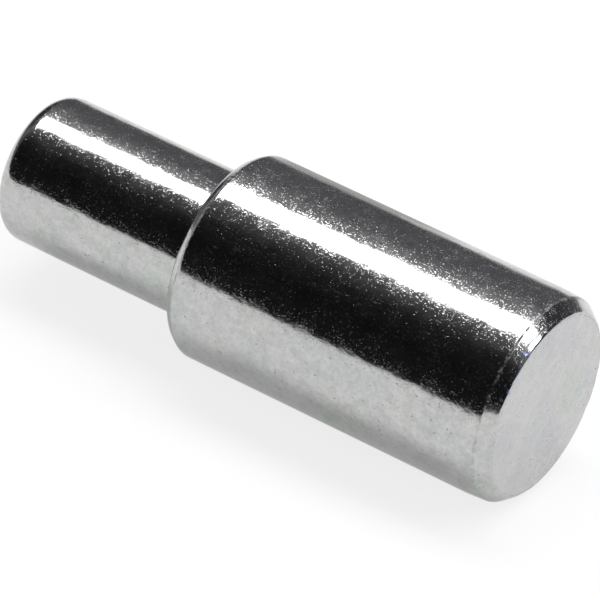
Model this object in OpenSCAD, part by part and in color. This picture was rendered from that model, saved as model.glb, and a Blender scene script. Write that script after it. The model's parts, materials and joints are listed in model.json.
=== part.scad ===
// Stepped shelf support pin, turned from one piece of round steel.
// The pin lies as it is used: its axis runs along X and +Z is up, towards the shelf.
// The origin is on the axis, in the plane of the shoulder that meets the cabinet's side.
// The peg points to -X, into the cabinet's side, and the support points to +X, under the shelf.

/* [Peg] */
// Diameter of the peg that plugs into the cabinet's hole
peg_d = 5; // [3:0.1:5.5]
// Length of the peg from the shoulder to its tip
peg_len = 7.4; // [4:0.1:16]
// Radius of the rounded edge around the tip
tip_r = 0.6; // [0.1:0.05:1.2]
// Radius of the fillet where the peg meets the shoulder
root_r = 0.15; // [0.05:0.05:0.25]

/* [Support] */
// Diameter of the support that carries the shelf
support_d = 7; // [6.5:0.1:12]
// Length of the support from the shoulder to its end face
support_len = 12.2; // [4:0.1:40]
// Radius of the rounded edge around the shoulder
shoulder_r = 0.5; // [0.1:0.05:0.5]

/* [End chamfer] */
// Length of the chamfer along the support
chamfer_len = 0.45; // [0.2:0.05:1.2]
// Depth of the chamfer towards the axis
chamfer_depth = 0.4; // [0.2:0.05:1]
// Radius of the blend between the support's side and the chamfer
side_blend_r = 0.25; // [0.05:0.05:0.4]
// Radius of the blend between the chamfer and the end face
face_blend_r = 0.1; // [0.05:0.05:0.4]

/* [Hidden] */
$fn = 128;

peg_radius = peg_d / 2;
support_radius = support_d / 2;

// Height of the step at the shoulder, which limits the fillet and the round that share it
step = support_radius - peg_radius;
root_fillet = min(root_r, step / 4);
shoulder_round = min(shoulder_r, step / 2);

// Slope of the chamfer: its angle to the axis, its length and its direction in the half section
slope_angle = atan2(chamfer_depth, chamfer_len);
slope_len = norm([chamfer_depth, chamfer_len]);
slope_dir = [-sin(slope_angle), cos(slope_angle)];

// Each blend may use half of the slope, and its run is the distance from corner to tangent point
side_blend = min(side_blend_r, slope_len / 2 / tan(slope_angle / 2));
side_run = side_blend * tan(slope_angle / 2);
face_blend = min(face_blend_r, slope_len / 2 / tan(45 - slope_angle / 2));
face_run = face_blend * tan(45 - slope_angle / 2);

// Corners of the chamfer before they are blended, as [radius, distance from the shoulder]
side_corner = [support_radius, support_len - chamfer_len];
face_corner = [support_radius - chamfer_depth, support_len];

// Half of a round bar's section, from the axis out to radius r and up to y = h, with a rounded edge
module bar_section(r, h, edge_r) {
    square([r - edge_r, h]);
    square([r, h - edge_r]);
    translate([r - edge_r, h - edge_r])
        circle(edge_r);
}

// The peg below the shoulder, rounded at its tip
module peg_section() {
    mirror([0, 1])
        bar_section(peg_radius, peg_len, tip_r);
}

// The hollow corner where the peg runs out into the shoulder
module root_section() {
    translate([peg_radius, -root_fillet])
        difference() {
            square(root_fillet);
            translate([root_fillet, 0])
                circle(root_fillet);
        }
}

// The support's bar with a chamfer at its far end, blended into the side and into the end face
module chamfered_section() {
    polygon([
        [0, 0],
        [support_radius, 0],
        side_corner - [0, side_run],
        side_corner + side_run * slope_dir,
        face_corner - face_run * slope_dir,
        face_corner - [face_run, 0],
        [0, support_len]
    ]);
    translate(side_corner - [side_blend, side_run])
        circle(side_blend);
    translate(face_corner - [face_run, face_blend])
        circle(face_blend);
}

// The support above the shoulder: rounded where it starts and chamfered where it ends
module support_section() {
    intersection() {
        translate([0, support_len])
            mirror([0, 1])
                bar_section(support_radius, support_len, shoulder_round);
        chamfered_section();
    }
}

// The whole pin, revolved about its axis and laid along X
module shelf_pin() {
    color("silver")
        rotate([0, 90, 0])
            rotate_extrude() {
                peg_section();
                root_section();
                support_section();
            }
}

shelf_pin();
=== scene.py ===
"""A stepped shelf support pin in bright zinc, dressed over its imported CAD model."""

import json
import logging
import math
from dataclasses import dataclass
from enum import Enum
from typing import Any

import bpy
from mathutils import Matrix, Vector


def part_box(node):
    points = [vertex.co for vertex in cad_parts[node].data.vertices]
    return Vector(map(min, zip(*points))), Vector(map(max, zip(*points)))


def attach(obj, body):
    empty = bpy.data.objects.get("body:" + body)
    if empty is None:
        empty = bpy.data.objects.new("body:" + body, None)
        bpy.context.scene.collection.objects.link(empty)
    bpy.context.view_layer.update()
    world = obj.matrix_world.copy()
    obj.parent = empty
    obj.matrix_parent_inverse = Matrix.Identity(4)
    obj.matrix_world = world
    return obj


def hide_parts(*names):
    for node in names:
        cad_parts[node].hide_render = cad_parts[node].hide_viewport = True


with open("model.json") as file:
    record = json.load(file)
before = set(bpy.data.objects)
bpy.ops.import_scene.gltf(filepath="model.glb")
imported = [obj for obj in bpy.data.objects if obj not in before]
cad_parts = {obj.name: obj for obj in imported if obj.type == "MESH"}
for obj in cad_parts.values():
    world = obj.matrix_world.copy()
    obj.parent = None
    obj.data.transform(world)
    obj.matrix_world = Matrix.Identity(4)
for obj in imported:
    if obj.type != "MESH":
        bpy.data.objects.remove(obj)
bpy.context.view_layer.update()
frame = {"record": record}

log = logging.getLogger("shelf_pin")

MM = 0.001
NODE = "shelf_pin"
SLOT = "bright_zinc"
MAP_NAME = "OFBake"

# Side of the square that the bake map covers
MAP_SIDE = 23.6 * MM

# Width of the finest pits
PIT_MM = 0.036


class Patch(Enum):
    """Patches of the pin's unrolled skin, each with its place on the bake map, in millimetres.

    A side starts at the first number and has its middle at the second. A disc has its middle at both.
    """

    SUPPORT = (0.15, 11.15)
    PEG = (13.35, 8.0)
    END = (16.4, 19.2)
    TIP = (21.5, 18.2)


# Node trees


class Wire:
    """One output of a node in a tree, with Python's operators for its maths."""

    def __init__(self, graph: "Graph", socket: bpy.types.NodeSocket) -> None:
        """Keeps the output and the tree that its Math nodes are added to."""
        self.graph = graph
        self.socket = socket

    def __add__(self, other: "Wire | float") -> "Wire":
        """Adds a value."""
        return self.graph.math("ADD", self, other)

    def __radd__(self, other: float) -> "Wire":
        """Adds this to a number."""
        return self.graph.math("ADD", other, self)

    def __sub__(self, other: "Wire | float") -> "Wire":
        """Takes a value away."""
        return self.graph.math("SUBTRACT", self, other)

    def __rsub__(self, other: float) -> "Wire":
        """Takes this away from a number."""
        return self.graph.math("SUBTRACT", other, self)

    def __mul__(self, other: "Wire | float") -> "Wire":
        """Multiplies by a value."""
        return self.graph.math("MULTIPLY", self, other)

    def __rmul__(self, other: float) -> "Wire":
        """Multiplies a number by this."""
        return self.graph.math("MULTIPLY", other, self)

    def __truediv__(self, other: "Wire | float") -> "Wire":
        """Divides by a value."""
        return self.graph.math("DIVIDE", self, other)

    def __rtruediv__(self, other: float) -> "Wire":
        """Divides a number by this."""
        return self.graph.math("DIVIDE", other, self)

    def __neg__(self) -> "Wire":
        """Turns the sign."""
        return self.graph.math("MULTIPLY", self, -1.0)

    def __abs__(self) -> "Wire":
        """Drops the sign."""
        return self.graph.math("ABSOLUTE", self)

    def least(self, other: "Wire | float") -> "Wire":
        """The smaller of this and another value."""
        return self.graph.math("MINIMUM", self, other)

    def most(self, other: "Wire | float") -> "Wire":
        """The larger of this and another value."""
        return self.graph.math("MAXIMUM", self, other)

    def rise(
        self, low: "Wire | float", high: "Wire | float", start: float = 0.0, stop: float = 1.0
    ) -> "Wire":
        """A smooth step from one number to another, between two values of this.

        Args:
            low: the value at which the step starts, which may be the larger one.
            high: the value at which the step is complete.
            start: the number before the step.
            stop: the number after it.

        Returns:
            The step.
        """
        return self.graph.add(
            "ShaderNodeMapRange",
            {"interpolation_type": "SMOOTHSTEP"},
            {"Value": self, "From Min": low, "From Max": high, "To Min": start, "To Max": stop},
        )["Result"]


class Made:
    """A node that was added to a tree, whose outputs are read by name."""

    def __init__(self, graph: "Graph", node: bpy.types.Node) -> None:
        """Keeps the node and its tree."""
        self.graph = graph
        self.node = node

    def __getitem__(self, name: str) -> Wire:
        """Finds an output of the node.

        Args:
            name: the output's name.

        Returns:
            The output of that name which the node's settings leave in use.
        """
        for socket in self.node.outputs:
            if socket.name == name and socket.enabled:
                return Wire(self.graph, socket)
        raise KeyError(f"{self.node.bl_idname} has no output {name}")


class Graph:
    """A node tree, for a material, the world or a mesh, to which nodes are added."""

    def __init__(self, tree: bpy.types.NodeTree) -> None:
        """Takes over the tree and empties it."""
        self.tree = tree
        tree.nodes.clear()

    def add(
        self,
        kind: str,
        settings: dict[str, Any] | None = None,
        sockets: dict[str | int, Any] | None = None,
    ) -> Made:
        """Adds a node, sets its settings and then its sockets.

        Args:
            kind: the node's type.
            settings: the node's own properties. Pairs under "stops" fill a colour ramp, and
                a number under "choices" gives an Index Switch that many inputs.
            sockets: a value or a Wire for each input, by the input's name or place.

        Returns:
            The node, whose outputs are read by name.
        """
        node = self.tree.nodes.new(kind)
        for name, value in (settings or {}).items():
            if name == "stops":
                self._fill_ramp(node.color_ramp, value)
            elif name == "choices":
                while len(node.index_switch_items) < value:
                    node.index_switch_items.new()
            else:
                setattr(node, name, value)
        for key, value in (sockets or {}).items():
            socket = self._input(node, key)
            if isinstance(value, Wire):
                self.tree.links.new(value.socket, socket)
            else:
                socket.default_value = value
        return Made(self, node)

    @staticmethod
    def _fill_ramp(ramp: bpy.types.ColorRamp, stops: tuple[tuple[float, float], ...]) -> None:
        """Fills a colour ramp with greys.

        Args:
            ramp: the ramp.
            stops: the place and the brightness of each stop.
        """
        while len(ramp.elements) < len(stops):
            ramp.elements.new(0.5)
        for element, (place, grey) in zip(ramp.elements, stops, strict=True):
            element.position = place
            element.color = (grey, grey, grey, 1.0)

    @staticmethod
    def _input(node: bpy.types.Node, key: str | int) -> bpy.types.NodeSocket:
        """Finds an input of a node.

        Args:
            node: the node.
            key: the input's place or name.

        Returns:
            The input with that place, or of that name among those in use.
        """
        if isinstance(key, int):
            return node.inputs[key]
        for socket in node.inputs:
            if socket.name == key and socket.enabled:
                return socket
        raise KeyError(f"{node.bl_idname} has no input {key}")

    def math(self, operation: str, *values: Wire | float) -> Wire:
        """Adds a Math node on one, two or three values and returns its result."""
        sockets: dict[str | int, Any] = dict(enumerate(values))
        return self.add("ShaderNodeMath", {"operation": operation}, sockets)["Value"]

    def vector(self, operation: str, *values: Any, scale: float | None = None) -> Wire:
        """Adds a Vector Math node and returns its vector.

        Args:
            operation: what the node does.
            values: its vectors, in order.
            scale: the factor of the operation SCALE.

        Returns:
            The resulting vector.
        """
        sockets: dict[str | int, Any] = dict(enumerate(values))
        if scale is not None:
            sockets["Scale"] = scale
        return self.add("ShaderNodeVectorMath", {"operation": operation}, sockets)["Vector"]

    def parts(self, vector: Wire) -> tuple[Wire, Wire, Wire]:
        """The x, y and z of a vector."""
        split = self.add("ShaderNodeSeparateXYZ", sockets={0: vector})
        return split["X"], split["Y"], split["Z"]

    def joined(self, x: Wire | float, y: Wire | float, z: Wire | float) -> Wire:
        """A vector with these three parts."""
        return self.add("ShaderNodeCombineXYZ", sockets={0: x, 1: y, 2: z})["Vector"]

    def blend(self, factor: Wire | float, first: Any, second: Any) -> Wire:
        """A mix of two colours, the first at 0 and the second at 1."""
        return self.add(
            "ShaderNodeMix",
            {"data_type": "RGBA"},
            {"Factor": factor, "A": first, "B": second},
        )["Result"]

    def glow(
        self, strength: Wire | float, tint: tuple[float, float, float] = (1.0, 1.0, 1.0)
    ) -> Wire:
        """An Emission shader of that strength."""
        sockets: dict[str | int, Any] = {"Color": (*tint, 1.0), "Strength": strength}
        return self.add("ShaderNodeEmission", sockets=sockets)["Emission"]

    def cover(self, share: Wire | float, under: Wire, over: Wire) -> Wire:
        """A mix of two shaders, the first at 0 and the second at 1."""
        return self.add("ShaderNodeMixShader", sockets={0: share, 1: under, 2: over})["Shader"]

    def noise(
        self,
        place: Wire,
        per_unit: float,
        detail: float,
        seed: Wire | float,
        finer: float = 0.5,
    ) -> Wire:
        """A noise pattern between 0 and 1.

        Args:
            place: the point at which it is read.
            per_unit: cells of the pattern for each unit of the place.
            detail: octaves of finer pattern that are laid over it.
            seed: the fixed number that picks this pattern.
            finer: strength of each octave, as a share of the one before it.

        Returns:
            The pattern's value.
        """
        return self.add(
            "ShaderNodeTexNoise",
            {"noise_dimensions": "4D"},
            {"Vector": place, "W": seed, "Scale": per_unit, "Detail": detail, "Roughness": finer},
        )["Fac"]


# The pin's form


@dataclass(frozen=True)
class PinForm:
    """The pin's half section, in metres, with the CAD model's sizes and worn edges.

    The shoulder's edge is a slope with a round at each end. The support falls a little before the
    crease at which the end's chamfer starts.
    """

    peg_radius: float
    peg_length: float
    support_radius: float
    support_length: float
    tip_round: float = 0.6 * MM
    root_fillet: float = 0.15 * MM
    shoulder_round: float = 0.4 * MM
    shoulder_ease: float = 0.42 * MM
    shoulder_fall: float = 0.28 * MM
    shoulder_blend: float = 0.25 * MM
    end_ease: float = 0.65 * MM
    end_fall: float = 0.045 * MM
    end_round: float = 4.0 * MM
    chamfer_length: float = 0.45 * MM
    chamfer_depth: float = 0.4 * MM
    side_blend: float = 0.12 * MM
    face_blend: float = 0.16 * MM

    @classmethod
    def from_frame(cls, record: dict[str, Any]) -> "PinForm":
        """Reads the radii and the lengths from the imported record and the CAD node's box.

        Args:
            record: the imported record, whose mounts give the radii.

        Returns:
            The pin's form.
        """
        radii = {mount["name"]: mount["dims"].get("r_mm", 0.0) * MM for mount in record["mounts"]}
        low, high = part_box(NODE)
        return cls(radii["peg"], -low.x, radii["support"], high.x)

    @property
    def face_radius(self) -> float:
        """Radius of the edge between the end chamfer and the end face."""
        return self.support_radius - self.chamfer_depth


# The finish


class Mark(Enum):
    """Places on the pin that its finish marks out."""

    FACE = "the flat end face"
    CREASE = "the crease before the end's chamfer"
    GLINT = "bright wear along that crease"
    # Painted shade: a near-black line along the top of the crease
    CUT = "a dark cut along its top"
    NEAR = "the skin on both sides of it"
    SHOULDER = "the shoulder's edge"
    ROOT = "the peg's root"
    GROOVE = "a groove in the chamfer"
    RING = "a line around the end face"
    FLECK = "tinted flecks on the chamfer"


@dataclass(frozen=True)
class Pattern:
    """A noise pattern on the skin, and the two values between which its mask rises from 0 to 1."""

    per_mm: float
    seed: float
    low: float
    high: float
    detail: float = 2.0
    finer: float = 0.5

    def mask(self, graph: Graph, place: Wire, lift: Wire | None = None) -> Wire:
        """Lays the pattern on the skin.

        Args:
            graph: the material's tree.
            place: the point on the pin, in millimetres.
            lift: what is added to the pattern before its mask rises.

        Returns:
            The mask, between 0 and 1.
        """
        noise = graph.noise(place, self.per_mm, self.detail, self.seed, self.finer)
        lifted = noise if lift is None else noise + lift
        return lifted.rise(self.low, self.high)


@dataclass(frozen=True)
class StainAndShade:
    """A colour laid over the plate, and the share of it that shows where its mask is 1.

    Some are the plate's own stains and tints, and some are painted shade along its edges.
    """

    tone: tuple[float, float, float]
    share: float

    def over(self, graph: Graph, mask: Wire, under: Any) -> Wire:
        """A colour with this one laid over it, as far as a mask says."""
        return graph.blend(mask * self.share, under, (*self.tone, 1.0))


@dataclass(frozen=True)
class WearAndShadeLine:
    """A line beside an edge, in millimetres: its distance before the edge and its half widths.

    Some of these lines are wear and some are painted shade. The line wavers with a noise that all
    lines share, and sway says how much of it this line takes.
    """

    before: float
    sway: float
    outer: float
    inner: float

    def mask(self, past: Wire, waver: Wire) -> Wire:
        """The line's mask, from the distance past the edge and the shared waver."""
        return abs(past + self.before - waver * self.sway).rise(self.outer, self.inner)


@dataclass(frozen=True)
class BrightZinc:
    """Bright zinc plate on tumbled steel: a near mirror with a fine grain, pits and faint stains."""

    tone: tuple[float, float, float] = (0.6, 0.603, 0.597)
    roughness: float = 0.085
    drawn_out: float = 1.5

    grain_mm: float = 0.1
    grain_depth_mm: float = 0.0021
    grain_patch: Pattern = Pattern(2.0, 3.0, 0.3, 0.75, detail=1.0)
    swell_per_mm: float = 1.3
    swell_depth_mm: float = 0.015

    pit_depth_mm: float = 0.0006
    pit_crowd: Pattern = Pattern(1.1, 6.0, 0.35, 0.65)
    pit_crowding: float = 0.04
    fine_pit: Pattern = Pattern(1 / PIT_MM, 7.0, 0.65, 0.77, detail=0.0)
    long_pit: Pattern = Pattern(0.5 / PIT_MM, 8.0, 0.66, 0.8, detail=1.0)
    deep_pit: Pattern = Pattern(1.1 / PIT_MM, 9.0, 0.75, 0.83, detail=0.0)
    fine_pit_depth: float = 1.1
    long_pit_depth: float = 1.3
    deep_pit_depth: float = 2.5
    pit_roughness: float = 0.12

    green: StainAndShade = StainAndShade((0.5, 0.57, 0.505), 0.75)
    green_patch: Pattern = Pattern(0.5, 11.0, 0.5, 0.66)
    lilac: StainAndShade = StainAndShade((0.555, 0.55, 0.59), 0.7)
    lilac_patch: Pattern = Pattern(0.6, 17.0, 0.42, 0.62)
    speck: StainAndShade = StainAndShade((0.2, 0.2, 0.2), 0.8)
    speck_spot: Pattern = Pattern(11.0, 29.0, 0.765, 0.8, detail=0.0)
    mottle: Pattern = Pattern(3.2, 23.0, 0.3, 0.7, detail=6.0, finer=0.85)
    mottle_pale: tuple[float, float, float] = (1.06, 1.06, 1.06)
    mottle_dark: tuple[float, float, float] = (0.78, 0.79, 0.78)
    rubbed: StainAndShade = StainAndShade((0.84, 0.84, 0.86), 0.3)
    rubbed_streak: Pattern = Pattern(4.0, 31.0, 0.3, 0.7, detail=3.0, finer=0.6)
    haze: Pattern = Pattern(1.6, 37.0, 0.35, 0.7, detail=3.0, finer=0.6)

    waver_per_mm: float = 1.4
    waver_mm: float = 0.09
    broken: Pattern = Pattern(6.0, 43.0, 0.4, 0.6, detail=3.0, finer=0.7)
    jagged: Pattern = Pattern(9.0, 53.0, 0.4, 0.55, detail=3.0, finer=0.8)
    # Painted shade: a dark line along the chamfer's crease, and the same tone in the peg's root
    crease: StainAndShade = StainAndShade((0.1, 0.12, 0.105), 0.2)
    crease_line: WearAndShadeLine = WearAndShadeLine(0.0, 0.4, 0.07, 0.01)
    glint_line: WearAndShadeLine = WearAndShadeLine(0.0, 0.4, 0.1, 0.0)
    near_line: WearAndShadeLine = WearAndShadeLine(0.0, 2.0, 0.3, 0.0)
    # Painted shade: a near-black line along the top of the crease
    cut: StainAndShade = StainAndShade((0.012, 0.012, 0.014), 0.95)
    top_crease_shade_line: WearAndShadeLine = WearAndShadeLine(0.0, 0.6, 0.05, 0.02)
    shoulder_line: WearAndShadeLine = WearAndShadeLine(0.05, 0.5, 0.08, 0.02)
    root_line: WearAndShadeLine = WearAndShadeLine(0.22, 0.3, 0.05, 0.01)
    # Painted shade: a near-black line for a groove in the chamfer, which the mesh does not shape
    groove: StainAndShade = StainAndShade((0.012, 0.012, 0.014), 0.85)
    groove_line: WearAndShadeLine = WearAndShadeLine(0.17, 2.0, 0.045, 0.015)
    # Painted shade: a dark line just inside the end face's edge, for the shade of its lip
    ring: StainAndShade = StainAndShade((0.1, 0.12, 0.105), 0.3)
    ring_line: WearAndShadeLine = WearAndShadeLine(0.07, 0.6, 0.035, 0.005)
    fleck: StainAndShade = StainAndShade((0.11, 0.18, 0.62), 0.75)
    fleck_spot: Pattern = Pattern(6.0, 47.0, 0.52, 0.62, detail=4.0, finer=0.75)
    rougher: tuple[tuple[Mark, float], ...] = (
        (Mark.FACE, 0.12),
        (Mark.CREASE, 0.1),
        (Mark.GLINT, 0.27),
        (Mark.FLECK, 0.16),
        (Mark.SHOULDER, 0.42),
        (Mark.GROOVE, 0.15),
    )

    def material(self, form: PinForm) -> bpy.types.Material:
        """Makes the plate's material.

        Args:
            form: the pin's form, which says where its edges and its end face are.

        Returns:
            The material.
        """
        material = bpy.data.materials.new(SLOT)
        material.use_nodes = True
        graph = Graph(material.node_tree)
        place = graph.vector("SCALE", graph.add("ShaderNodeTexCoord")["Object"], scale=1 / MM)
        drawn = graph.vector("MULTIPLY", place, (1 / self.drawn_out, 1.0, 1.0))
        pits = self._pits(graph, drawn)
        marks = self._marks(graph, place, form)
        height = self._grain(graph, drawn) - pits * self.pit_depth_mm
        normal = graph.add(
            "ShaderNodeBump", sockets={"Strength": 1.0, "Distance": MM, "Height": height}
        )["Normal"]
        shader = graph.add(
            "ShaderNodeBsdfPrincipled",
            sockets={
                "Base Color": self._colour(graph, place, marks),
                "Metallic": 1.0,
                "Roughness": self._roughness(graph, place, pits, marks),
                "Normal": normal,
            },
        )
        graph.add("ShaderNodeOutputMaterial", sockets={"Surface": shader["BSDF"]})
        return material

    def _marks(self, graph: Graph, place: Wire, form: PinForm) -> dict[Mark, Wire]:
        """Finds the end face and the lines along the edges, which carry wear, tints and painted shade.

        Args:
            graph: the material's tree.
            place: the point on the pin, in millimetres.
            form: the pin's form.

        Returns:
            A mask between 0 and 1 for each mark.
        """
        along, side, up = graph.parts(place)
        radius = graph.math("SQRT", side * side + up * up)
        end = form.support_length / MM
        past_crease = along - (end - form.chamfer_length / MM)
        waver = (graph.noise(place, self.waver_per_mm, 2.0, 41.0) - 0.5) * self.waver_mm
        broken = self.broken.mask(graph, place)
        jagged = self.jagged.mask(graph, place)
        face = along.rise(end - 0.03, end - 0.01)
        front = up.rise(2.3, 2.8) * side.rise(0.2, -0.5)
        higher = up.rise(0.6, 3.2, 0.1, 1.0)
        tinted = up.rise(1.1, 1.9) * side.rise(-0.6, -1.2) * along.rise(end - 0.34, end - 0.16)
        past_ease = along - form.shoulder_ease / MM
        past_ring = radius - form.face_radius / MM
        glint = self.glint_line.mask(past_crease, waver) * jagged * (0.25 + broken * 0.75)
        return {
            Mark.FACE: face,
            Mark.CREASE: self.crease_line.mask(past_crease, waver) * (0.15 + broken * 0.85),
            Mark.GLINT: glint * higher,
            Mark.CUT: self.top_crease_shade_line.mask(past_crease, waver) * front * (0.5 + broken * 0.5),
            Mark.NEAR: self.near_line.mask(past_crease, waver) * broken,
            Mark.SHOULDER: self.shoulder_line.mask(past_ease, waver) * jagged,
            Mark.ROOT: self.root_line.mask(along, waver) * broken,
            Mark.GROOVE: self.groove_line.mask(along - end, waver) * front,
            Mark.RING: self.ring_line.mask(past_ring, waver) * face * broken,
            Mark.FLECK: self.fleck_spot.mask(graph, place) * tinted * (1.0 - face),
        }

    def _grain(self, graph: Graph, place: Wire) -> Wire:
        """Makes the plate's fine grain and its slow swell.

        Args:
            graph: the material's tree.
            place: the point on the pin, in millimetres, drawn out along the pin.

        Returns:
            The height of both, in millimetres.
        """
        patch = self.grain_patch.mask(graph, place)
        grain = graph.noise(place, 1 / self.grain_mm, 2.0, 5.0, 0.6)
        swell = graph.noise(place, self.swell_per_mm, 2.0, 4.0)
        return grain * (0.6 + patch * 0.8) * self.grain_depth_mm + swell * self.swell_depth_mm

    def _pits(self, graph: Graph, place: Wire) -> Wire:
        """Tiny ragged pits, fine, long and deep ones, in crowds and more of them behind the top.

        Args:
            graph: the material's tree.
            place: the point on the pin, in millimetres, drawn out along the pin.

        Returns:
            0 beside the pits, and 1 or more at their bottom.
        """
        crowd = self.pit_crowd.mask(graph, place) * self.pit_crowding
        longer = graph.vector("MULTIPLY", place, (0.3, 1.0, 1.0))
        fine = self.fine_pit.mask(graph, place, crowd) * self.fine_pit_depth
        long = self.long_pit.mask(graph, longer, crowd) * self.long_pit_depth
        deep = self.deep_pit.mask(graph, place, crowd * 0.5) * self.deep_pit_depth
        along, side, _ = graph.parts(place)
        behind = side.rise(-1.6, -0.1) * along.rise(-1.5, 0.5, 0.35, 1.1)
        return (fine + long + deep) * (behind * 0.4 + 1.0)

    def _colour(self, graph: Graph, place: Wire, marks: dict[Mark, Wire]) -> Wire:
        """Base colour: a neutral plate with mottling, faint stains, dark specks and painted shade on
        edges.

        Args:
            graph: the material's tree.
            place: the point on the pin, in millimetres.
            marks: the masks of the end face and of the lines along the edges.

        Returns:
            The colour.
        """
        _, side, up = graph.parts(place)
        face = marks[Mark.FACE]
        green = self.green_patch.mask(graph, place) * up.rise(1.5, -2.5)
        green = (green + marks[Mark.NEAR] * up.rise(0.5, -1.0) * 0.8).least(1.0)
        lilac = self.lilac_patch.mask(graph, place) * (0.35 + face * 0.65)
        mottle = self.mottle.mask(graph, place) * (1.0 - face * 0.5)
        slanted = graph.joined(side * 0.1 + up * 0.13, side * -0.8 + up * 0.6, 0.0)
        streaks = self.rubbed_streak.mask(graph, slanted) * face
        colour = self.green.over(graph, green, (*self.tone, 1.0))
        colour = self.lilac.over(graph, lilac, colour)
        shade = graph.blend(mottle, (*self.mottle_pale, 1.0), (*self.mottle_dark, 1.0))
        shade = self.rubbed.over(graph, streaks, shade)
        colour = graph.add(
            "ShaderNodeMix",
            {"data_type": "RGBA", "blend_type": "MULTIPLY"},
            {"Factor": 1.0, "A": colour, "B": shade},
        )["Result"]
        # Painted shade along the chamfer's crease and in the peg's root
        colour = self.crease.over(graph, marks[Mark.CREASE] + marks[Mark.ROOT], colour)
        # Painted shade along the top of the crease
        colour = self.cut.over(graph, marks[Mark.CUT], colour)
        # Painted shade just inside the end face's edge
        colour = self.ring.over(graph, marks[Mark.RING], colour)
        # Painted shade of the groove in the chamfer
        colour = self.groove.over(graph, marks[Mark.GROOVE], colour)
        colour = self.fleck.over(graph, marks[Mark.FLECK], colour)
        return self.speck.over(graph, self.speck_spot.mask(graph, place), colour)

    def _roughness(self, graph: Graph, place: Wire, pits: Wire, marks: dict[Mark, Wire]) -> Wire:
        """Roughness: near a mirror, hazier in patches, in the pits, along edges and on the face.

        Args:
            graph: the material's tree.
            place: the point on the pin, in millimetres.
            pits: the depth of the pits.
            marks: the masks of the end face and the worn lines.

        Returns:
            The roughness.
        """
        _, side, _ = graph.parts(place)
        haze = self.haze.mask(graph, place) * side.rise(-1.2, -0.2, 0.05, 0.11)
        roughness = self.roughness + haze + pits.least(1.5) * self.pit_roughness
        for mark, more in self.rougher:
            roughness = roughness + marks[mark] * more
        return roughness


# The pin


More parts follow.
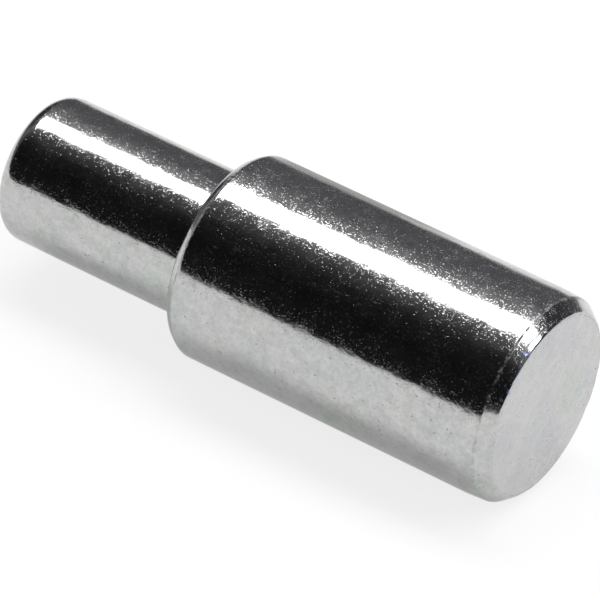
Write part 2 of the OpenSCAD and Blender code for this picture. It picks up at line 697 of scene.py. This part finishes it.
@dataclass(frozen=True)
class ShelfPin:
    """The pin itself: one turned piece, revolved from its half section."""

    form: PinForm
    finish: BrightZinc
    row_step: float = 0.1 * MM
    arc_rows: int = 10
    around: int = 256
    weld: float = 0.0001 * MM
    sunk_depth: float = 0.005 * MM
    wave_per_mm: float = 0.75
    wave_depth: float = 0.0015 * MM
    nick_per_mm: float = 1.3
    nick_depth: float = 0.02 * MM
    nick_reach: float = 0.2 * MM
    nick_core: float = 0.03 * MM
    nick_run: float = 0.25 * MM
    seed: int = 7

    def build(self) -> bpy.types.Object:
        """Makes the pin, dresses it and sets it in the frame.

        Returns:
            The finished piece.
        """
        material = self.finish.material(self.form)
        holder = bpy.data.objects.new("pin_form", bpy.data.meshes.new("pin_form"))
        bpy.context.collection.objects.link(holder)
        tree, sockets = self._tree()
        modifier = holder.modifiers.new("pin_form", "NODES")
        modifier.node_group = tree
        for name, value in self._sizes(material).items():
            modifier[sockets[name]] = value
        evaluated = holder.evaluated_get(bpy.context.evaluated_depsgraph_get())
        mesh = bpy.data.meshes.new_from_object(evaluated)
        holder.modifiers.remove(modifier)
        bpy.data.objects.remove(holder)
        mesh.name = "shelf_pin_bright"
        piece = bpy.data.objects.new("shelf_pin_bright", mesh)
        bpy.context.collection.objects.link(piece)
        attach(piece, "root")
        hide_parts(NODE)
        return piece

    def _sizes(self, material: bpy.types.Material | None) -> dict[str, Any]:
        """The value of each named input of the tree.

        Args:
            material: the finish that the mesh wears, or None where only the inputs are made.

        Returns:
            The values, by the name of the input.
        """
        return {
            "Peg Radius": self.form.peg_radius,
            "Peg Length": self.form.peg_length,
            "Support Radius": self.form.support_radius,
            "Support Length": self.form.support_length,
            "Tip Round": self.form.tip_round,
            "Root Fillet": self.form.root_fillet,
            "Shoulder Round": self.form.shoulder_round,
            "Shoulder Ease": self.form.shoulder_ease,
            "Shoulder Fall": self.form.shoulder_fall,
            "Shoulder Blend": self.form.shoulder_blend,
            "End Ease": self.form.end_ease,
            "End Fall": self.form.end_fall,
            "End Round": self.form.end_round,
            "Chamfer Length": self.form.chamfer_length,
            "Chamfer Depth": self.form.chamfer_depth,
            "Side Blend": self.form.side_blend,
            "Face Blend": self.form.face_blend,
            "Row Step": self.row_step,
            "Weld": self.weld,
            "Sunk Depth": self.sunk_depth,
            "Wave Depth": self.wave_depth,
            "Nick Depth": self.nick_depth,
            "Nick Reach": self.nick_reach,
            "Nick Core": self.nick_core,
            "Nick Run": self.nick_run,
            "Arc Rows": self.arc_rows,
            "Around": self.around,
            "Seed": self.seed,
            "Finish": material,
        }

    def _tree(self) -> tuple[bpy.types.NodeTree, dict[str, str]]:
        """Makes the tree that revolves the section and roughens it.

        Returns:
            The tree, and the identifier of each input by its name.
        """
        tree = bpy.data.node_groups.new("pin_form", "GeometryNodeTree")
        sockets = {}
        for name, value in self._sizes(None).items():
            kind = "NodeSocketFloat" if isinstance(value, float) else "NodeSocketInt"
            kind = "NodeSocketMaterial" if value is None else kind
            socket = tree.interface.new_socket(name, in_out="INPUT", socket_type=kind)
            sockets[name] = socket.identifier
        tree.interface.new_socket("Pin", in_out="OUTPUT", socket_type="NodeSocketGeometry")
        graph = Graph(tree)
        size = graph.add("NodeGroupInput")
        section = self._section(graph, size)
        shell = self._revolved(graph, size, section)
        worn = self._worn(graph, size, shell)
        smooth = graph.add("GeometryNodeSetShadeSmooth", sockets={"Geometry": worn})["Geometry"]
        real = graph.add("GeometryNodeRealizeInstances", sockets={"Geometry": smooth})["Geometry"]
        dressed = graph.add(
            "GeometryNodeSetMaterial", sockets={"Geometry": real, "Material": size["Finish"]}
        )["Geometry"]
        graph.add("NodeGroupOutput", sockets={"Pin": dressed})
        return tree, sockets

    def _section(self, graph: Graph, size: Made) -> Wire:
        """Draws the half section as a curve: x along the pin, z out from its axis.

        Args:
            graph: the tree.
            size: the tree's inputs.

        Returns:
            The curve, with rounded corners and a row of points at each step.
        """
        tip = -size["Peg Length"]
        full = size["Support Radius"]
        end = size["Support Length"]
        crease = end - size["Chamfer Length"]
        corners = [
            (tip, 0.0, 0.0),
            (tip, size["Peg Radius"], size["Tip Round"]),
            (0.0, size["Peg Radius"], size["Root Fillet"]),
            (0.0, full - size["Shoulder Fall"], size["Shoulder Round"]),
            (size["Shoulder Ease"], full, size["Shoulder Blend"]),
            (crease - size["End Ease"], full, size["End Round"]),
            (crease, full - size["End Fall"], size["Side Blend"]),
            (end, full - size["Chamfer Depth"], size["Face Blend"]),
            (end, 0.0, 0.0),
        ]
        index = graph.add("GeometryNodeInputIndex")["Index"]
        places = {1 + i: graph.joined(x, 0.0, r) for i, (x, r, _) in enumerate(corners)}
        rounds = {1 + i: turn for i, (_, _, turn) in enumerate(corners)}
        place = graph.add(
            "GeometryNodeIndexSwitch",
            {"data_type": "VECTOR", "choices": len(corners)},
            {0: index, **places},
        )["Output"]
        turn = graph.add(
            "GeometryNodeIndexSwitch",
            {"data_type": "FLOAT", "choices": len(corners)},
            {0: index, **rounds},
        )["Output"]
        points = graph.add("GeometryNodePoints", sockets={"Count": len(corners), "Position": place})
        line = graph.add(
            "GeometryNodePointsToCurves", sockets={"Points": points["Points"], "Weight": index}
        )["Curves"]
        rounded = graph.add(
            "GeometryNodeFilletCurve",
            {"mode": "POLY"},
            {"Curve": line, "Count": size["Arc Rows"], "Radius": turn},
        )["Curve"]
        here = graph.add("GeometryNodeInputPosition")["Position"]
        ahead = graph.add(
            "GeometryNodeFieldAtIndex",
            {"data_type": "FLOAT_VECTOR", "domain": "POINT"},
            {"Value": here, "Index": index + 1.0},
        )["Value"]
        span = graph.add(
            "ShaderNodeVectorMath", {"operation": "DISTANCE"}, {0: here, 1: ahead}
        )["Value"]
        cuts = graph.math("FLOOR", span / size["Row Step"])
        stepped = graph.add("GeometryNodeSubdivideCurve", sockets={"Curve": rounded, "Cuts": cuts})
        return stepped["Curve"]

    def _revolved(self, graph: Graph, size: Made, section: Wire) -> Wire:
        """Turns the section about the X axis, closing the seam and both poles.

        Args:
            graph: the tree.
            size: the tree's inputs.
            section: the half section's curve.

        Returns:
            The closed shell, with its faces outwards.
        """
        rows = graph.add(
            "GeometryNodeAttributeDomainSize", {"component": "CURVE"}, {"Geometry": section}
        )["Point Count"]
        grid = graph.add(
            "GeometryNodeMeshGrid",
            sockets={
                "Size X": rows - 1.0,
                "Size Y": size["Around"],
                "Vertices X": rows,
                "Vertices Y": size["Around"] + 1.0,
            },
        )["Mesh"]
        here = graph.add("GeometryNodeInputPosition")["Position"]
        row, step, _ = graph.parts(here)
        number = graph.math("ROUND", row + (rows - 1.0) / 2.0)
        turn = step / size["Around"] * math.tau
        mapped = self._mapped(graph, size, section, grid, number, turn)
        sample = graph.add(
            "GeometryNodeSampleIndex",
            {"data_type": "FLOAT_VECTOR", "domain": "POINT"},
            {"Geometry": section, "Value": here, "Index": number},
        )["Value"]
        along, _, radius = graph.parts(sample)
        place = graph.joined(
            along, radius * graph.math("SINE", turn), radius * graph.math("COSINE", turn)
        )
        shell = graph.add("GeometryNodeSetPosition", sockets={"Geometry": mapped, "Position": place})
        return graph.add(
            "GeometryNodeMergeByDistance",
            sockets={"Geometry": shell["Geometry"], "Distance": size["Weld"]},
        )["Geometry"]

    def _mapped(
        self, graph: Graph, size: Made, section: Wire, grid: Wire, number: Wire, turn: Wire
    ) -> Wire:
        """Unrolls the skin on a map of one scale: two sides as strips and two flat ends as discs.

        Args:
            graph: the tree.
            size: the tree's inputs.
            section: the half section's curve.
            grid: the flat grid that becomes the shell.
            number: the section's point at each vertex of the grid.
            turn: the angle about the axis at each vertex.

        Returns:
            The grid with its map.
        """
        length = graph.add("GeometryNodeSplineParameter")["Length"]
        run = graph.add(
            "GeometryNodeSampleIndex",
            {"data_type": "FLOAT", "domain": "POINT"},
            {"Geometry": section, "Value": length, "Index": number},
        )["Value"]
        total = graph.add("GeometryNodeCurveLength", sockets={"Curve": section})["Length"]
        middle = graph.add(
            "GeometryNodeFieldOnDomain", {"data_type": "FLOAT", "domain": "FACE"}, {"Value": run}
        )["Value"]
        peg_start = size["Peg Radius"] - size["Tip Round"]
        quarter = math.pi / 2 - 1
        peg_end = size["Peg Radius"] + size["Peg Length"] - size["Tip Round"] + (
            size["Tip Round"] + size["Root Fillet"]
        ) * quarter
        flat = size["Support Radius"] - size["Chamfer Depth"] - size["Face Blend"]
        on_tip = graph.math("LESS_THAN", middle, peg_start)
        on_end = graph.math("GREATER_THAN", middle, total - flat)
        before = graph.math("LESS_THAN", middle, peg_end)
        sine = graph.math("SINE", turn)
        cosine = graph.math("COSINE", turn)
        left = total - run
        places = [
            (Patch.TIP, on_tip, run * cosine, run * sine),
            (Patch.PEG, before - on_tip, run - peg_start, turn * size["Peg Radius"]),
            (Patch.SUPPORT, 1.0 - before - on_end, run - peg_end, turn * size["Support Radius"]),
            (Patch.END, on_end, left * sine, left * cosine),
        ]
        across: Wire | float = 0.0
        up: Wire | float = 0.0
        for patch, here, shift_across, shift_up in places:
            across = (shift_across + patch.value[0] * MM) * here + across
            up = (shift_up + patch.value[1] * MM) * here + up
        return graph.add(
            "GeometryNodeStoreNamedAttribute",
            {"data_type": "FLOAT2", "domain": "CORNER"},
            {
                "Geometry": grid,
                "Name": MAP_NAME,
                "Value": graph.joined(across / MAP_SIDE, up / MAP_SIDE, 0.0),
            },
        )["Geometry"]

    def _worn(self, graph: Graph, size: Made, shell: Wire) -> Wire:
        """Sinks the skin a little: a slow waviness all over and small nicks along the end's edge.

        Args:
            graph: the tree.
            size: the tree's inputs.
            shell: the smooth closed shell.

        Returns:
            The shell, moved inwards only.
        """
        here = graph.add("GeometryNodeInputPosition")["Position"]
        along, side, up = graph.parts(here)
        radius = graph.math("SQRT", side * side + up * up)
        end = size["Support Length"]
        wave = graph.noise(here, self.wave_per_mm / MM, 1.0, size["Seed"]) * size["Wave Depth"]
        edge = abs(radius - (size["Support Radius"] - size["Chamfer Depth"]))
        edge = edge.rise(size["Nick Reach"], size["Nick Core"]) * along.rise(end - size["Nick Run"], end)
        nick = graph.noise(here, self.nick_per_mm / MM, 2.0, size["Seed"] + 4.0).rise(0.45, 0.8)
        depth = wave + edge * nick * size["Nick Depth"] + size["Sunk Depth"]
        normal = graph.add("GeometryNodeInputNormal")["Normal"]
        sunk = graph.add(
            "ShaderNodeVectorMath", {"operation": "SCALE"}, {"Vector": normal, "Scale": -depth}
        )["Vector"]
        return graph.add(
            "GeometryNodeSetPosition", sockets={"Geometry": shell, "Offset": sunk}
        )["Geometry"]


# The studio and the camera


@dataclass(frozen=True)
class Studio:
    """A pale floor under the pin, two lamps over it and a room that is dark in the metal.

    Lengths are in metres and turns in degrees, but a lamp's length, width and place are shares of its
    height, and its fades are shares of its size. A pair of distances says where a change of the floor
    starts and where it is complete. The room's pairs are a place from front to back and a brightness.
    """

    floor_height: float
    floor_size: float = 4.0
    floor_tone: float = 0.65
    floor_in_view: float = 0.78
    floor_in_metal: float = 0.305
    shadow_in_view: float = 0.37
    white_away: tuple[float, float] = (0.06, 0.35)
    white_behind: tuple[float, float] = (0.006, 0.012)
    dim_behind: tuple[float, float] = (0.03, 0.16)
    dim_glow: float = 0.3
    dim_tint: tuple[float, float, float] = (1.0, 1.01, 0.95)
    dark_front: tuple[float, float] = (-0.055, -0.14)
    dark_glow: float = 0.03
    shade_slant: float = 0.48
    shade_start: tuple[float, float] = (0.0, 0.0015)
    shade_end: tuple[float, float] = (0.0095, 0.0065)
    shade_behind: tuple[float, float] = (0.004, 0.012)
    shade_share: float = 0.75
    strip_height: float = 0.28
    strip_width: float = 0.4
    strip_radiance: float = 13.0
    soft_height: float = 0.3
    soft_width: float = 0.53
    soft_radiance: float = 3.55
    lamp_length: float = 2.42
    lamp_right: float = 0.39
    lamp_back: float = 0.25
    lamp_turn: float = 6.5
    lamp_front_fade: float = 0.2
    lamp_back_fade: float = 0.25
    lamp_end_fade: float = 0.06
    fill: float = 0.45
    room_over: tuple[tuple[float, float], ...] = (
        (0.0, 0.01),
        (0.2, 0.005),
        (0.33, 0.013),
        (0.42, 0.06),
        (0.6, 0.32),
        (0.68, 0.21),
        (0.76, 0.125),
        (1.0, 0.1),
    )
    room_back_tint: tuple[float, float, float] = (0.985, 0.965, 1.06)
    room_right: float = 0.35
    room_corner: float = 0.3
    room_left: tuple[float, float, float] = (0.14, 0.14, 0.145)

    def build(self) -> None:
        """Makes the floor, the lamps and the room."""
        self._floor()
        self._lamps()
        self._room()

    def _floor(self) -> None:
        """Lays a pale matt floor that glows where the camera and metal look at it."""
        half = self.floor_size / 2
        corners = [(-half, -half), (half, -half), (half, half), (-half, half)]
        mesh = bpy.data.meshes.new("floor")
        mesh.from_pydata([(x, y, self.floor_height) for x, y in corners], [], [(0, 1, 2, 3)])
        floor = bpy.data.objects.new("floor", mesh)
        bpy.context.collection.objects.link(floor)
        mesh.materials.append(self._pale())

    def _pale(self) -> bpy.types.Material:
        """Makes the floor's material: matt with a glow, white far away, and clear from below.

        In metal it is also white close behind the pin, dim further back and dark far in front, with
        a slanted shade behind the shoulder.

        Returns:
            The material.
        """
        material = bpy.data.materials.new("pale_floor")
        material.use_nodes = True
        graph = Graph(material.node_tree)
        ray = graph.add("ShaderNodeLightPath")
        x, y, _ = graph.parts(graph.add("ShaderNodeTexCoord")["Object"])
        metal = (ray["Is Glossy Ray"] + ray["Is Transmission Ray"]).least(1.0)
        looked_at = (ray["Is Camera Ray"] + metal).least(1.0)
        away = graph.math("SQRT", x * x + y * y).rise(*self.white_away)
        slant = x + y * self.shade_slant
        shaded = slant.rise(*self.shade_start) * slant.rise(*self.shade_end)
        shaded = shaded * y.rise(*self.shade_behind) * self.shade_share
        white = graph.glow(1.0)
        layers = [
            (away * looked_at, white),
            (y.rise(*self.white_behind) * metal, white),
            (y.rise(*self.dim_behind).most(shaded) * metal, graph.glow(self.dim_glow, self.dim_tint)),
            (y.rise(*self.dark_front) * metal, graph.glow(self.dark_glow)),
            (
                graph.add("ShaderNodeNewGeometry")["Backfacing"],
                graph.add("ShaderNodeBsdfTransparent")["BSDF"],
            ),
        ]
        surface = self._matt(graph, ray["Is Camera Ray"], metal)
        for share, layer in layers:
            surface = graph.cover(share, surface, layer)
        graph.add("ShaderNodeOutputMaterial", sockets={"Surface": surface})
        return material

    def _matt(self, graph: Graph, view: Wire, metal: Wire) -> Wire:
        """Makes the floor beside the pin: matt, and with a glow that softens the shadow.

        Args:
            graph: the floor's tree.
            view: 1 where the camera looks at the floor.
            metal: 1 where metal or glass shows the floor.

        Returns:
            The shader.
        """
        tone = self.floor_tone
        faint = tone * self.shadow_in_view
        grey = graph.blend(view, (tone, tone, tone, 1.0), (faint, faint, faint, 1.0))
        matt = graph.add("ShaderNodeBsdfDiffuse", sockets={"Color": grey})["BSDF"]
        glow = graph.glow(view * self.floor_in_view + metal * self.floor_in_metal)
        return graph.add("ShaderNodeAddShader", sockets={0: matt, 1: glow})["Shader"]

    def _lamps(self) -> None:
        """Hangs a long bright strip that only metal shows, and a softer lamp that lights the floor."""
        # The lamps hang at two heights, because light is lost where two of them lie in one plane
        strip = self._lamp("strip_lamp", self.strip_height, self.strip_width, self.strip_radiance)
        strip.visible_diffuse = False
        soft = self._lamp("soft_lamp", self.soft_height, self.soft_width, self.soft_radiance)
        soft.visible_glossy = False

    def _lamp(self, name: str, height: float, width: float, radiance: float) -> bpy.types.Object:
        """Hangs one lamp over the pin, a little turned and set back, dimmer at its edges.

        Args:
            name: the lamp's name.
            height: its height over the pin's axis.
            width: its width, as a share of its height.
            radiance: its brightness where it is looked at.

        Returns:
            The lamp.
        """
        data = bpy.data.lights.new(name, "AREA")
        data.shape = "RECTANGLE"
        data.size = self.lamp_length * height
        data.size_y = width * height
        data.energy = radiance * math.pi * data.size * data.size_y
        data.use_nodes = True
        graph = Graph(data.node_tree)
        along, across, _ = graph.parts(graph.add("ShaderNodeNewGeometry")["Parametric"])
        sides = across.rise(0.0, self.lamp_front_fade) * across.rise(1.0, 1.0 - self.lamp_back_fade)
        ends = along.rise(0.0, self.lamp_end_fade) * along.rise(1.0, 1.0 - self.lamp_end_fade)
        graph.add("ShaderNodeOutputLight", sockets={"Surface": graph.glow(sides * ends)})
        lamp = bpy.data.objects.new(name, data)
        bpy.context.collection.objects.link(lamp)
        lamp.location = (self.lamp_right * height, self.lamp_back * height, height)
        lamp.rotation_euler = (0.0, 0.0, math.radians(self.lamp_turn))
        lamp.visible_camera = False
        return lamp

    def _room(self) -> None:
        """Makes the world: white to the camera, an even fill, and a dark room in the metal."""
        world = bpy.data.worlds.new("room")
        world.use_nodes = True
        bpy.context.scene.world = world
        graph = Graph(world.node_tree)
        ray = graph.add("ShaderNodeLightPath")
        seen = (ray["Is Camera Ray"] + ray["Is Transmission Ray"]).least(1.0)
        fill = (self.fill, self.fill, self.fill, 1.0)
        colour = graph.blend(ray["Is Glossy Ray"], fill, self._dark(graph))
        colour = graph.blend(seen, colour, (1.0, 1.0, 1.0, 1.0))
        light = graph.add("ShaderNodeBackground", sockets={"Color": colour, "Strength": 1.0})
        graph.add("ShaderNodeOutputWorld", sockets={"Surface": light["Background"]})

    def _dark(self, graph: Graph) -> Wire:
        """Makes the room that metal shows: dark in front, paler overhead and behind.

        Args:
            graph: the world's tree.

        Returns:
            The room's colour.
        """
        x, y, z = graph.parts(graph.add("ShaderNodeTexCoord")["Generated"])
        # From 0 at the front over the top to 1 at the back
        over = graph.math("ARCTAN2", z, -y) / math.pi
        dark = graph.add("ShaderNodeValToRGB", {"stops": self.room_over}, {"Fac": over})["Color"]
        tinted = graph.vector("MULTIPLY", dark, self.room_back_tint)
        dark = graph.blend(over.rise(0.64, 0.78), dark, tinted)
        right = x.rise(0.0, 0.45) * over.rise(0.5, 0.65)
        dark = graph.blend(right, dark, graph.vector("SCALE", dark, scale=self.room_right))
        corner = x.rise(-0.55, -0.75) * y.rise(-0.1, 0.2)
        dark = graph.blend(corner, dark, graph.vector("SCALE", dark, scale=self.room_corner))
        left = x.rise(-0.9, -0.98) * z.rise(0.5, 0.2)
        return graph.blend(left, dark, (*self.room_left, 1.0))


@dataclass(frozen=True)
class PhotoCamera:
    """The photograph's view, held a little turned about its own line of sight.

    Angles are in degrees. The focal length, the scale at the origin and the origin's place are measured
    in pixels of the photograph.
    """

    azimuth: float = 30.463
    elevation: float = 33.373
    roll: float = 7.589
    image_px: float = 600.0
    focal_px: float = 5819.5
    scale_px_mm: float = 31.571
    origin_px: tuple[float, float] = (225.051, 252.298)
    sensor_mm: float = 36.0
    near_clip: float = 10 * MM
    far_clip: float = 10.0

    def build(self) -> bpy.types.Object:
        """Makes the camera and gives it to the scene.

        Returns:
            The camera.
        """
        swing = math.radians(self.azimuth)
        lift = math.radians(self.elevation)
        level = Vector((math.cos(swing), math.sin(swing), 0.0))
        forward = Vector((-math.sin(swing), math.cos(swing), 0.0))
        back = math.sin(lift) * Vector((0.0, 0.0, 1.0)) - math.cos(lift) * forward
        raised = back.cross(level)
        turn = math.radians(self.roll)
        right = math.cos(turn) * level + math.sin(turn) * raised
        up = math.cos(turn) * raised - math.sin(turn) * level
        half = self.image_px / 2
        across = (half - self.origin_px[0]) / self.scale_px_mm
        down = (half - self.origin_px[1]) / self.scale_px_mm
        distance = self.focal_px / self.scale_px_mm
        place = (across * right - down * up + distance * back) * MM
        data = bpy.data.cameras.new("photo_camera")
        data.sensor_width = self.sensor_mm
        data.lens = self.focal_px * self.sensor_mm / self.image_px
        data.clip_start = self.near_clip
        data.clip_end = self.far_clip
        camera = bpy.data.objects.new("photo_camera", data)
        bpy.context.collection.objects.link(camera)
        turned = Matrix((right, up, back)).transposed().to_4x4()
        camera.matrix_world = Matrix.Translation(place) @ turned
        bpy.context.scene.camera = camera
        return camera


def main() -> None:
    """Makes the camera, the studio and the pin, and reports each piece."""
    logging.basicConfig(level=logging.INFO, format="%(message)s")
    bpy.context.scene.view_settings.view_transform = "Standard"
    PhotoCamera().build()
    form = PinForm.from_frame(frame["record"])
    Studio(floor_height=-form.support_radius).build()
    pin = ShelfPin(form, BrightZinc()).build()
    log.info("%s: %d faces", pin.name, len(pin.data.polygons))


if __name__ == "__main__":
    main()
